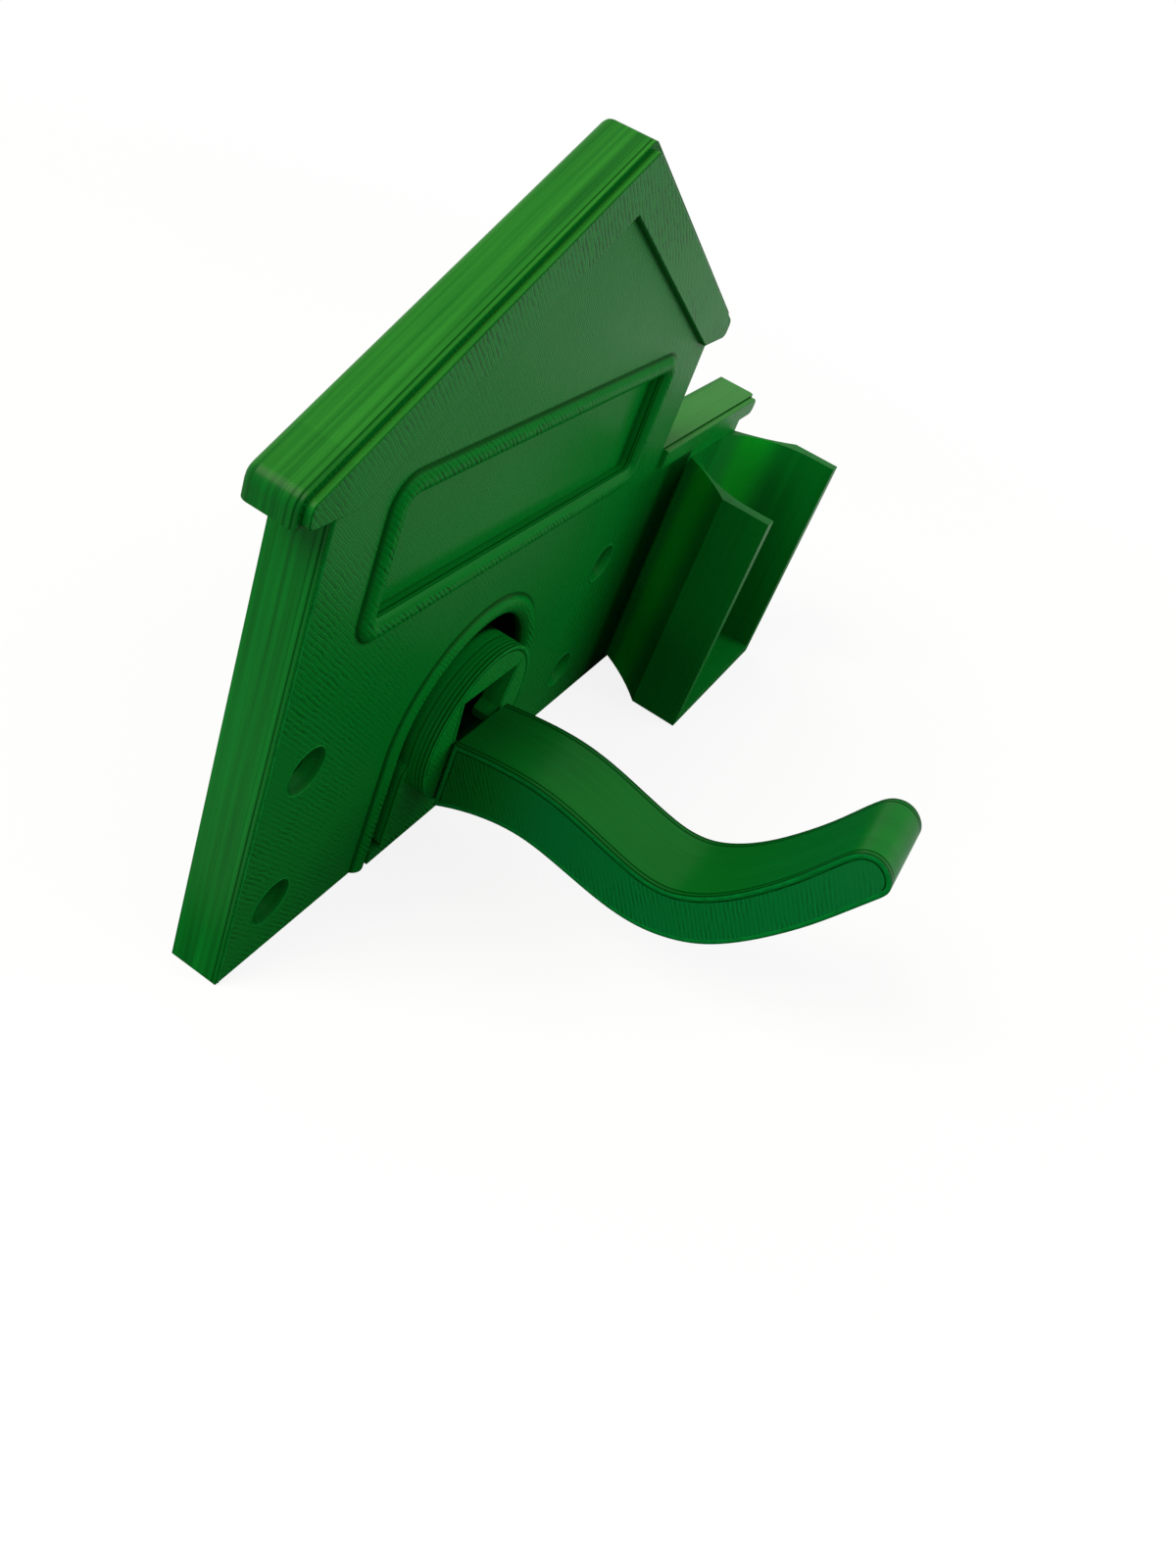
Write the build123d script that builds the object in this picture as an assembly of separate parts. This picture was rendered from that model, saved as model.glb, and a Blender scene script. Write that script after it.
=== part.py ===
from build123d import *
import math
import os

# Kennel-shaped dog lead holder: wall plate with a bag trough, a keyhole socket and a drop-in hook.
# X runs to the right, Z up; the wall side lies at Y = 0 and every front face looks towards -Y.
# A depth is the distance from the wall side, so it is the same as -Y. All sizes are in millimetres.

os.makedirs("parts", exist_ok=True)

# Overall sizes
overall_width = 200.9
overall_height = 144.4
overall_reach = 98.7

# Kennel front
plate_depth = 10.0
roof_pitch = 30.0
roof_overhang = 8.2
roof_thickness = 10.0
eave_end_height = 4.6
fascia_proud = 1.3
fascia_setback = 1.1
fascia_low_round = 1.5
fascia_edge_round = 0.35
roof_back_round = 2.0
eave_top_round = 3.2
apex_round = 1.2

# Raised beads round the name panel and the door
bead_width = 4.4
bead_proud = 1.25
bead_root = 0.4

# Name panel, left bare
panel_side_gap = 14.2
panel_height = 31.6
panel_above_eave = 0.9
panel_corner_r = 6.0
panel_sink = 2.3

# Door recess
door_outer_r = 25.8
door_arch_z = 30.3
door_floor_depth = 1.6
sill_height = 3.3
sill_proud = 1.1

# Wall screws
screw_edge_gap = 11.05
screw_low_z = 12.9
screw_spacing_z = 31.6
screw_hole_d = 4.6
screw_head_d = 9.4

# Lean-to beside the kennel
shed_height = 66.7
shed_width = 53.9
bar_height = 5.0
bar_overhang = 3.3
bar_gap = 0.9
bar_end_round = 1.2
lip_setback = 0.45
lip_end_round = 1.9

# Bag trough
trough_gap = 12.5
trough_wall = 3.2
trough_inner_r = 22.9
trough_arc_depth = 31.3
trough_tip_depth = 36.8
trough_corner_depth = 24.3
trough_root_half = 14.0
trough_flare_dip = 0.75
trough_rim_z = 62.2

# Hook socket
socket_fit = 0.25
socket_base = 1.2
socket_r = 18.0
socket_centre_z = 28.9
socket_front_depth = 15.0
socket_wall = 4.3
foot_half_width = 19.0
foot_top_z = 26.0
foot_depth = 11.6
foot_top_round = 4.0
foot_low_round = 1.6

# Keyhole in the socket front
key_top_width = 19.8
key_low_width = 16.6
key_top_z = 39.2
key_low_z = 28.6
shoulder_drop = 1.6
slot_width = 11.7
slot_bottom_z = 17.6
pocket_side = 3.0
head_play = 3.0

# Hook
hook_width = 20.0
hook_rise = 30.0
hook_fit = 0.2
hook_stand = 0.8
head_thick = 4.5
root_top_z = 29.2

# Hook profile from the root to the tip, each point a share of the hook's reach and of its rise
hook_upper = [(0, 0), (0.12, 0.057), (0.234, 0.075), (0.356, 0.028), (0.48, -0.05), (0.551, -0.073),
              (0.606, -0.048), (0.66, 0.033), (0.718, 0.177), (0.784, 0.407), (0.842, 0.66),
              (0.888, 0.89)]
hook_tip = [(0.912, 0.97), (0.946, 1), (0.982, 0.953), (1, 0.85)]
hook_lower = [(0, -0.547), (0.072, -0.453), (0.151, -0.383), (0.233, -0.353), (0.32, -0.372),
              (0.409, -0.413), (0.495, -0.442), (0.576, -0.433), (0.648, -0.377), (0.712, -0.282),
              (0.786, -0.097), (0.85, 0.122), (0.907, 0.357), (0.958, 0.607), (0.987, 0.753)]

# Sizes that follow from the ones above
trough_outer_half = trough_inner_r + trough_wall
plate_width = overall_width - roof_overhang - trough_gap - 2 * trough_outer_half
half_plate = plate_width / 2
trough_x = half_plate + trough_gap + trough_outer_half
pitch_slope = math.tan(math.radians(roof_pitch))
eave_x = half_plate + roof_overhang
apex_z = overall_height + apex_round * (1 / math.cos(math.radians(roof_pitch)) - 1)
roof_rise_z = apex_z - eave_x * pitch_slope
eave_z = roof_rise_z - eave_end_height
inner_apex_z = apex_z - roof_thickness / math.cos(math.radians(roof_pitch))
inner_eave_x = (inner_apex_z - eave_z) / pitch_slope
fascia_x = eave_x - fascia_setback
fascia_apex_z = apex_z - fascia_setback / math.cos(math.radians(roof_pitch))
fascia_rise_z = fascia_apex_z - fascia_x * pitch_slope
fascia_depth = plate_depth + fascia_proud
panel_width = plate_width - 2 * panel_side_gap
panel_mid_z = eave_z + panel_above_eave - panel_height / 2
door_inner_r = door_outer_r - bead_width
screw_spacing_x = plate_width - 2 * screw_edge_gap
bar_length = shed_width + bar_overhang
socket_low_z = sill_height + socket_fit
head_width = key_low_width - 2 * hook_fit
neck_width = slot_width - 2 * hook_fit
neck_top_z = slot_bottom_z + key_top_z - key_low_z - head_play
wall_back_depth = socket_front_depth - socket_wall
hook_root_depth = socket_front_depth + hook_stand
hook_reach = overall_reach - hook_root_depth

# The origin is the middle of the screw pattern on the wall side
seat = Pos(0, 0, -screw_low_z - screw_spacing_z / 2)


def front_slab(face, depth_from, depth_to):
    """Extrude a face drawn in X and Z between two depths."""
    return extrude(Plane.XZ.offset(depth_from) * face, depth_to - depth_from)


def upright(face, z_from, z_to):
    """Extrude a face drawn in X and -depth between two heights."""
    return extrude(Plane.XY.offset(z_from) * face, z_to - z_from)


def rectangle(x_from, x_to, z_from, z_to):
    """Upright rectangle given by its edges."""
    return Pos((x_from + x_to) / 2, (z_from + z_to) / 2) * Rectangle(x_to - x_from, z_to - z_from)


def mirrored(points):
    """Close a right-hand outline, listed from bottom to top, over the middle line."""
    return points + [(-x, z) for x, z in reversed(points) if x > 0]


def tombstone(half_width, centre_z, low_z):
    """Arch on straight legs."""
    return Pos(0, centre_z) * Circle(half_width) + rectangle(-half_width, half_width, low_z, centre_z)


def bead(path):
    """Sweep a low round bead along a path lying on the plate face."""
    outward = Vector(0, -1, 0)
    section = Plane(origin=path @ 0, x_dir=outward.cross(path % 0), z_dir=path % 0)
    half = bead_width / 2
    top = ThreePointArc((-half, 0), (0, bead_proud), (half, 0))
    root = Polyline((half, 0), (half, -bead_root), (-half, -bead_root), (-half, 0))
    return sweep(section * make_face(top + root), path=path)


def corners_at(face, z):
    """Corners of an upright face at one height."""
    return face.vertices().filter_by(lambda corner: abs(corner.Y - z) < 0.01)


def soft_front(solid):
    """Break the sharp edges round the front of a raised strip."""
    return fillet(solid.faces().sort_by(Axis.Y)[0].edges(), fascia_edge_round)


def make_house():
    """Plate and roof in one outline, its back edges rounded along the roof."""
    half = [(half_plate, 0), (half_plate, eave_z), (eave_x, eave_z), (eave_x, roof_rise_z), (0, apex_z)]
    outline = make_face(Polyline(*mirrored(half), close=True))
    outline = fillet(corners_at(outline, roof_rise_z), eave_top_round)
    outline = fillet(corners_at(outline, apex_z), apex_round)
    house = front_slab(outline, 0, plate_depth)
    back = house.faces().sort_by(Axis.Y)[-1].edges()
    rim = back.filter_by(lambda edge: edge.center().Z > eave_z + eave_end_height / 4)
    return fillet(rim, roof_back_round)


def make_fascia():
    """Strip along the gable, set back from the roof's edge."""
    half = [(inner_eave_x, eave_z), (fascia_x, eave_z), (fascia_x, fascia_rise_z), (0, fascia_apex_z)]
    left = [(-x, z) for x, z in reversed(half[:-1])]
    outline = make_face(Polyline(*half, *left, (0, inner_apex_z), close=True))
    outline = fillet(corners_at(outline, fascia_rise_z), eave_top_round - fascia_setback)
    outline = fillet(corners_at(outline, fascia_apex_z), apex_round)
    low = corners_at(outline, eave_z).filter_by(lambda corner: abs(corner.X) > half_plate)
    outline = fillet(low, fascia_low_round)
    return soft_front(front_slab(outline, plate_depth, fascia_depth))


def make_shed():
    """Lean-to with its roof bar and the lip along the bar."""
    shed = front_slab(rectangle(half_plate, half_plate + shed_width, 0, shed_height), 0, plate_depth)
    bar_top = shed_height + bar_height
    bar_end = half_plate + bar_length
    bar = front_slab(rectangle(half_plate, bar_end, shed_height, bar_top), 0, plate_depth)
    corner = bar.edges().filter_by(Axis.Z).filter_by(lambda edge: edge.center().X > bar_end - 0.01)
    bar = fillet(corner.sort_by(Axis.Y)[:1], bar_end_round)
    lip = rectangle(half_plate + bar_gap, bar_end, shed_height, bar_top - lip_setback)
    lip = fillet(lip.vertices().group_by(Axis.X)[-1], lip_end_round)
    return shed + bar + soft_front(front_slab(lip, plate_depth, fascia_depth))


def make_trough():
    """Flared outside of the bag trough."""
    root = (trough_root_half, -plate_depth)
    corner = (trough_outer_half, -trough_corner_depth)
    run, drop = corner[0] - root[0], corner[1] - root[1]
    length = math.hypot(run, drop)
    middle = ((root[0] + corner[0]) / 2 + trough_flare_dip * drop / length,
              (root[1] + corner[1]) / 2 - trough_flare_dip * run / length)
    flare_right = ThreePointArc(root, middle, corner)
    flare_left = ThreePointArc((-root[0], root[1]), (-middle[0], middle[1]), (-corner[0], corner[1]))
    back = -plate_depth + trough_wall
    front = [(side * trough_outer_half, -trough_tip_depth) for side in (1, -1)]
    rest = Polyline(corner, *front, (-corner[0], corner[1]))
    rear = Polyline((-root[0], root[1]), (-root[0], back), (root[0], back), root)
    return Pos(trough_x, 0, 0) * upright(make_face(flare_right + rest + flare_left + rear), 0, trough_rim_z)


def make_trough_hollow():
    """Room for the roll of bags, open at the top and the front."""
    mouth = trough_tip_depth + trough_wall - trough_arc_depth
    face = Pos(0, -trough_arc_depth) * Circle(trough_inner_r)
    face += Pos(0, -trough_arc_depth - mouth / 2) * Rectangle(2 * trough_inner_r, mouth)
    return Pos(trough_x, 0, 0) * upright(face, trough_wall, trough_rim_z)


def make_panel_bead():
    """Bead round the name panel."""
    corner_r = panel_corner_r - bead_width / 2
    face = RectangleRounded(panel_width - bead_width, panel_height - bead_width, corner_r)
    return bead((Plane.XZ.offset(plate_depth) * Pos(0, panel_mid_z) * face).wires()[0])


def make_panel_hollow():
    """Sunk field inside the panel bead."""
    rim = 2 * bead_width
    face = RectangleRounded(panel_width - rim, panel_height - rim, panel_corner_r - bead_width)
    return front_slab(Pos(0, panel_mid_z) * face, plate_depth - panel_sink, plate_depth + bead_proud)


def make_door_bead():
    """Bead over the door, running down to the foot of the plate."""
    r = door_outer_r - bead_width / 2
    legs_and_arch = Polyline((-r, 0), (-r, door_arch_z)) + CenterArc((0, door_arch_z), r, 180, -180)
    legs_and_arch += Polyline((r, door_arch_z), (r, 0))
    path = Wire((Plane.XZ.offset(plate_depth) * legs_and_arch).edges())
    return bead(path)


def make_screw_holes():
    """Countersunk holes, two on each side of the door."""
    sink = (screw_head_d - screw_hole_d) / 2
    rows = [screw_low_z, screw_low_z + screw_spacing_z]
    spots = [(side * screw_spacing_x / 2, z) for side in (-1, 1) for z in rows]
    holes = Part()
    for x, z in spots:
        shank = front_slab(Pos(x, z) * Circle(screw_hole_d / 2), 0, plate_depth)
        cone = loft([Plane.XZ.offset(plate_depth - sink) * Pos(x, z) * Circle(screw_hole_d / 2),
                     Plane.XZ.offset(plate_depth) * Pos(x, z) * Circle(screw_head_d / 2)])
        holes += [shank, cone]
    return holes


def make_kennel_plate():
    """Kennel front, lean-to and bag trough in one print."""
    plate = make_house() + make_fascia() + make_shed() + make_trough()
    plate += [make_panel_bead(), make_door_bead()]
    plate += front_slab(rectangle(-door_inner_r, door_inner_r, 0, sill_height), 0, plate_depth + sill_proud)
    door = tombstone(door_inner_r, door_arch_z, sill_height)
    plate -= front_slab(door, door_floor_depth, plate_depth + bead_proud)
    plate -= make_panel_hollow()
    plate -= make_trough_hollow()
    return plate - make_screw_holes()


def make_keyhole():
    """Opening for the head of the hook, narrowing over its shoulders to a slot for the neck."""
    half_slot = slot_width / 2
    side = [(half_slot, slot_bottom_z), (half_slot, key_low_z - shoulder_drop),
            (key_low_width / 2, key_low_z), (key_top_width / 2, key_top_z)]
    return make_face(Polyline(*mirrored(side), close=True))


def make_hook_socket():
    """Round boss on a square foot, hollowed for the head of the hook."""
    base = tombstone(door_inner_r - socket_fit, door_arch_z, socket_low_z)
    socket = front_slab(base, door_floor_depth, door_floor_depth + socket_base)
    foot = rectangle(-foot_half_width, foot_half_width, socket_low_z, foot_top_z)
    foot = fillet(foot.vertices().group_by(Axis.Y)[-1], foot_top_round)
    foot = fillet(foot.vertices().group_by(Axis.Y)[0], foot_low_round)
    socket += front_slab(foot, door_floor_depth, foot_depth)
    socket += front_slab(Pos(0, socket_centre_z) * Circle(socket_r), door_floor_depth, socket_front_depth)
    socket -= front_slab(make_keyhole(), wall_back_depth, socket_front_depth)
    half_pocket = key_top_width / 2 + pocket_side
    pocket = rectangle(-half_pocket, half_pocket, slot_bottom_z, key_top_z)
    return socket - front_slab(pocket, door_floor_depth + socket_base, wall_back_depth)


def make_hook():
    """Recurved lead hook with a narrower neck and a head that drops behind the socket wall."""
    def station(share):
        return (hook_root_depth + share[0] * hook_reach, root_top_z + share[1] * hook_rise)

    stations = [station(share) for share in hook_upper + hook_tip + hook_lower[::-1]]
    outline = Spline(*stations) + Line(stations[-1], stations[0])
    side = Plane(origin=(hook_width / 2, 0, 0), x_dir=(0, -1, 0), z_dir=(-1, 0, 0))
    body = extrude(side * make_face(outline), hook_width)
    neck = rectangle(-neck_width / 2, neck_width / 2, slot_bottom_z, neck_top_z)
    head = rectangle(-head_width / 2, head_width / 2, slot_bottom_z, neck_top_z)
    head_front = wall_back_depth - hook_fit
    body += front_slab(neck, head_front, hook_root_depth)
    return body + front_slab(head, head_front - head_thick, head_front)


export_step(seat * make_kennel_plate(), "parts/kennel_plate.step")
export_step(seat * make_hook_socket(), "parts/hook_socket.step")
export_step(seat * make_hook(), "parts/hook.step")
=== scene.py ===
"""Looks of a printed kennel-shaped dog lead holder, dressed over its solid parts."""

import math

import bpy
from bpy.props import FloatProperty, FloatVectorProperty, PointerProperty
from mathutils import Matrix, Vector


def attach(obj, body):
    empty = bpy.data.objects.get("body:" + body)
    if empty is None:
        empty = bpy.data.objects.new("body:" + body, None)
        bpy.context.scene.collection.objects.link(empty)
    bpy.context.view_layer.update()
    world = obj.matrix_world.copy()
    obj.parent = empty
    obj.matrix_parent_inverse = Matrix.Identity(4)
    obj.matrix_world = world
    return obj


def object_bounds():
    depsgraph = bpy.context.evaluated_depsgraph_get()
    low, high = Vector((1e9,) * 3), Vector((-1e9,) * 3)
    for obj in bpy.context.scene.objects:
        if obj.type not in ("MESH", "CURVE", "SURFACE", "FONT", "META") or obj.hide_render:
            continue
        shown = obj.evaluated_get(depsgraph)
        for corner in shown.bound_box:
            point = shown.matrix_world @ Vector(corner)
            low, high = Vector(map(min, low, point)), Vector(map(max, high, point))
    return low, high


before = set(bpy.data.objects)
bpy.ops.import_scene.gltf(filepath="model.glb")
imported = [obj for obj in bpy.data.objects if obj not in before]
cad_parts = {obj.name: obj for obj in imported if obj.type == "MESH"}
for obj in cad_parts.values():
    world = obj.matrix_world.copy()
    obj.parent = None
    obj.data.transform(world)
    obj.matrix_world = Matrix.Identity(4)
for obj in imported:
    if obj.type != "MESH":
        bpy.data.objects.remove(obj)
CAD_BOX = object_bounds()

bl_info = {
    "name": "Dog lead holder",
    "version": (1, 0, 0),
    "blender": (4, 5, 0),
    "location": "View3D > Sidebar > Lead holder",
    "description": "Print finish, outline strands and studio for a kennel-shaped lead holder",
    "category": "Object",
}

MM = 0.001
MM_PER_M = 1000.0
MICRON = 1e-6
WHITE = (1.0, 1.0, 1.0, 1.0)

# Camera solved from the photograph: frame, focal length and row of its axis in pixels, place in m, turn
PHOTO_SIZE = (1200, 1600)
FOCAL_LENGTH = 1306.16
AXIS_ROW = 671.98
SENSOR_WIDTH = 36.0
NEAR_CLIP = 0.01
CAMERA_PLACE = (-0.19163, -0.08713, 0.15822)
CAMERA_TURN = ((0.459923, 0.378718, -0.803146),
               (-0.828298, 0.508925, -0.234346),
               (0.319990, 0.773025, 0.547758))

# Soft lights: place and size in m, colour, and the setting that holds the power
LIGHTS = {"soft_box": ((-0.6, 0.35, 0.75), 0.6, (1.0, 0.95, 0.8), "key_power"),
          "front_panel": ((0.35, -0.7, 0.45), 0.8, (1.0, 1.0, 1.0), "fill_power"),
          "side_panel": ((-0.9, -0.12, 0.12), 0.4, (1.0, 1.0, 1.0), "side_power")}

# Floor: gap under the part in m, its two greys, and where in m reflections of it and its shadow change
FLOOR_GAP = 0.0002
FLOOR_DARK = (0.1, 0.1, 0.1, 1.0)
FLOOR_PALE = (0.95, 0.95, 0.95, 1.0)
MIRROR_AWAY = (0.15, 0.3)
MIRROR_LEFT = (-0.07, -0.09)
MIRROR_AHEAD = (-0.05, -0.08)
MIRROR_AHEAD_RIGHT = (0.0, 0.05)
MIRROR_AHEAD_SHARE = 0.85
SHADOW_AWAY = (0.25, 0.5)

# Plate in mm: its front before the wall, its sides from the middle line, and its screw holes:
# half their spacing across and up, the soft edge of their rims and the longest outline of one
PLATE_FRONT = 10.0
PLATE_SIDE = 64.0
SCREW_HALF = (52.95, 15.8)
SCREW_RIM = (5.0, 4.7)
SCREW_OUTLINE = 40.0

# Levels in mm of the flat faces that carry strands, along the axis that the piece was printed on
PLATE_FACES = (-PLATE_FRONT,)
SOCKET_FACES = (-15.0,)
HOOK_FACES = (10.0, -10.0)

# Door and name panel in mm: middle height, half width and half height of the straight core of each
DOOR_CORE = (-48.4, 0.0, 50.0)
PANEL_CORE = (54.7, 43.8, 9.8)
# Distances from those cores: outer edge of each bead, half a bead, side of the door recess, panel's field
DOOR_EDGE = 25.8
PANEL_EDGE = 6.0
BEAD_HALF = 2.2
RECESS_SIDE = (21.5, 21.7)
PANEL_FIELD = (PANEL_EDGE - BEAD_HALF * 1.5, PANEL_EDGE - BEAD_HALF * 2.0)
# Outside of each bead, and the band along its crown: how far inside the outer edge, half width, strength
OFF_PANEL = (PANEL_EDGE - 0.5, PANEL_EDGE + 0.2)
OFF_DOOR = (DOOR_EDGE - 0.5, DOOR_EDGE + 0.2)
BEAD_CROWN = (BEAD_HALF, BEAD_HALF * 1.3, 1.0)

# Roof in mm: its slope, heights of the fascia's outer and inner edge over the middle line, half width, eave
ROOF_SLOPE = math.tan(math.radians(30.0))
FASCIA_RIDGE = 114.62
FASCIA_FOOT = 104.34
FASCIA_HALF = 71.1
EAVE = (68.6, 69.6)

# Lean-to in mm: its left edge and top, foot of the bar, top of the bar's lip, side and root of the trough
LEAN_TO_LEFT = (64.3, 64.6)
LEAN_TO_TOP = (60.0, 59.0)
BAR_FOOT = 37.0
LIP_TOP = 42.55
TROUGH_LEFT = 76.4
TROUGH_SIDE = (TROUGH_LEFT - 0.5, TROUGH_LEFT)
TROUGH_ROOT = (88.0, 86.0)

# Depths in mm before the wall between which the kennel's shading changes
OFF_BACK = (0.4, 1.2)
IN_RECESS = (9.6, 8.2)
NEAR_FRONT = (8.5, 9.5)
ON_FRONT = (9.6, 9.9)
ON_BEADS = (9.6, 10.2)
ON_FASCIA = (10.2, 10.8)
TROUGH_PALE = (24.0, 14.0)
GLOW_START = (11.0, 14.5)
GLOW_END = (23.0, 16.0)
CHEEK_DEPTH = (22.0, 25.0)

# Places in mm beside the middle line, and heights, between which the kennel's shading changes
LEFT_EAVE = (-70.5, -71.5)
LEFT_WALL = (-63.4, -64.0)
LEFT_TO_RIGHT = (-20.0, 20.0)
ROWS_OUTWARD = (26.0, 56.0)
SHADOW_LEFT = 42.0
SHADOW_NEAR = 5.0
LEFT_CHEEK = (80.0, 78.0)
RIGHT_CHEEK = (121.0, 124.0)
SLOT_TOP = (40.0, 34.0)
FRONT_RISE = (20.0, 70.0)

# Half widths in mm of the painted shade along the kennel's ledges and slot and at the feet of its beads and
# fascia
LEDGE_HALF = 0.12
BEAD_FOOT_HALF = 0.7
FASCIA_FOOT_HALF = 0.4

# Strength of the painted shade in each crease, slot and screw hole of the kennel, and of the painted light
# and painted shade that make some of its faces lighter or darker
DARK = {"roof_ledge": 0.4, "bar_ledge": 0.85, "bead_foot": 0.75, "fascia_foot": 0.25,
        "wide_shadow": 0.6, "near_shadow": 0.4, "left_hole": 0.5, "right_hole": 0.1}
PAINTED_LIGHT = {"trough": 0.5, "bar": 0.3, "panel": 0.25, "low_front": 0.06, "high_front": 0.2}
PAINTED_SHADE = {"left_wall": 0.12, "left_eave": 0.4, "left_cheek": 0.2, "right_cheek": 0.25}

# Rows on the kennel's flat faces: contrast in the middle and outward, below the front, and on the fascia
ROWS_MIDDLE = 0.35
ROWS_OUTER = 1.2
ROWS_SUNK = 0.4
ROWS_FASCIA = 2.4
# Rows on the beads: how far inside the outer edge in mm, half width in mm, strength
STITCH = (0.5, 0.9, 0.6)
# Dulling and painted glow of the trough, painted warm light on upward faces, streaks, and how much less on
# trough and bar
TROUGH_DULL = 0.25
TROUGH_GLOW = 0.75
KENNEL_TOP_LIGHT = 0.8
KENNEL_STREAKS = 1.7
SMOOTH_STREAKS = 1.3

# Boss in mm: height of its middle, where its outside begins, and the depths over which its pocket gets
# painted shade
BOSS_HEIGHT = 0.2
BOSS_OUTSIDE = (14.5, 15.5)
POCKET_DEPTH = (9.4, 8.0)
SOCKET_STREAKS = 1.0

# Hook: depths in mm of the painted shade on its neck and root and of the bluish painted sheen on the sides of
# its bar, and the strengths that go with them
NECK_DEPTH = (15.4, 12.0)
ROOT_DEPTH = (36.0, 16.0)
SIDE_SHEEN_DEPTH = (20.0, 42.0)
ROOT_SHADE = 0.3
HOOK_TOP_LIGHT = 0.12
HOOK_STREAKS = 0.4

# Dark lines between layers: level in mm along the print axis, half width in mm and strength of each
KENNEL_LINES = ((-9.2, 0.3, 0.8), (-9.9, 0.16, 0.6), (-8.05, 0.3, 0.25), (-11.25, 0.18, 0.5))
SOCKET_LINES = ((-14.8, 0.35, 0.85), (-13.95, 0.35, 0.85), (-13.1, 0.35, 0.65), (-12.2, 0.35, 0.4),
                (-11.2, 0.35, 0.65))
HOOK_LINES = ((-9.75, 0.5, 0.95), (-8.75, 0.5, 0.85), (9.75, 0.5, 0.95), (8.75, 0.5, 0.85))

# Print finish: how far a face looks along the print axis to be flat, or upward to be sunned
FLAT_FACING = (0.86, 0.97)
UP_FACING = (0.3, 0.8)
# Fine detail of the noises, and their repeats per m: patches, wander of rows, blotches, streaks
FINE = 3.0
PATCH_SCALE = 55.0
WANDER_SCALE = 360.0
BLOTCH_SCALE = 420.0
STREAK_ALONG = 14.0
STREAK_ACROSS = 900.0
# Rows: wander in rows, repeats of the strokes per row across and along, and contrast from stroke to stroke
ROW_WANDER = 1.7
STROKE_ACROSS = 0.45
STROKE_ALONG = 0.16
STROKE_CONTRAST = (0.3, 0.7, 0.25, 1.5)
STROKE_TONE = 0.8
PATCH_CONTRAST = (0.38, 0.6, 0.15, 1.5)
PATCH_TONE = 0.25
VALLEY_POWER = 3.0
# Relief: height in m, strength, and the shares of layers, streaks and dark lines in it
RELIEF_HEIGHT = 0.00008
RELIEF_STRENGTH = 0.5
LAYER_RELIEF = 0.25
STREAK_RELIEF = 0.8
LINE_RELIEF = 1.2
# Gloss: spread of the roughness, refraction, greenish reflection and the thin coat over it
ROUGHNESS_SPREAD = 0.12
REFRACTION = 1.46
SPECULAR = 0.02
SPECULAR_TINT = (0.7, 1.0, 0.6, 1.0)
COAT_ROUGHNESS = 0.3
COAT_STOPS = (0.0, 0.5)

# Strands: blotches, roughness and its spread, and the gloss of a burr
BLOTCHES = (0.35, 0.7)
STRAND_ROUGHNESS = 0.4
STRAND_SPREAD = 0.2
BURR_GLOSS = 0.05
# Section of a strand in heights above its face: whole height, and how far its middle is sunk
SECTION_HEIGHT = 5.0
SECTION_SUNK = 1.5
SECTION_SIDES = 12
# Distance from the edge, width and height in m of the burr round a screw hole and of the plate's edge strand
BURR = (0.2 * MM, 0.45 * MM, 0.08 * MM)
SIDE_STRAND = (0.45 * MM, 0.9 * MM, 0.08 * MM)
# Blotch of a strand as a share of its colour; painted crease shade strand: height in m, gap in widths,
# steepest face that has one
STRAND_BLOTCH = 0.75
CREASE_HEIGHT = 0.02 * MM
CREASE_GAP = 0.2
CREASE_FACING = 0.3
# How far the inside of an outline has to look to the side to count as the side of the plate
SIDEWAYS = 0.9
# Tolerance in m of a flat face, and the sharpest corner that a strand follows with its full width
FLAT_TOLERANCE = 2e-5
SHARPEST = 0.5


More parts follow.
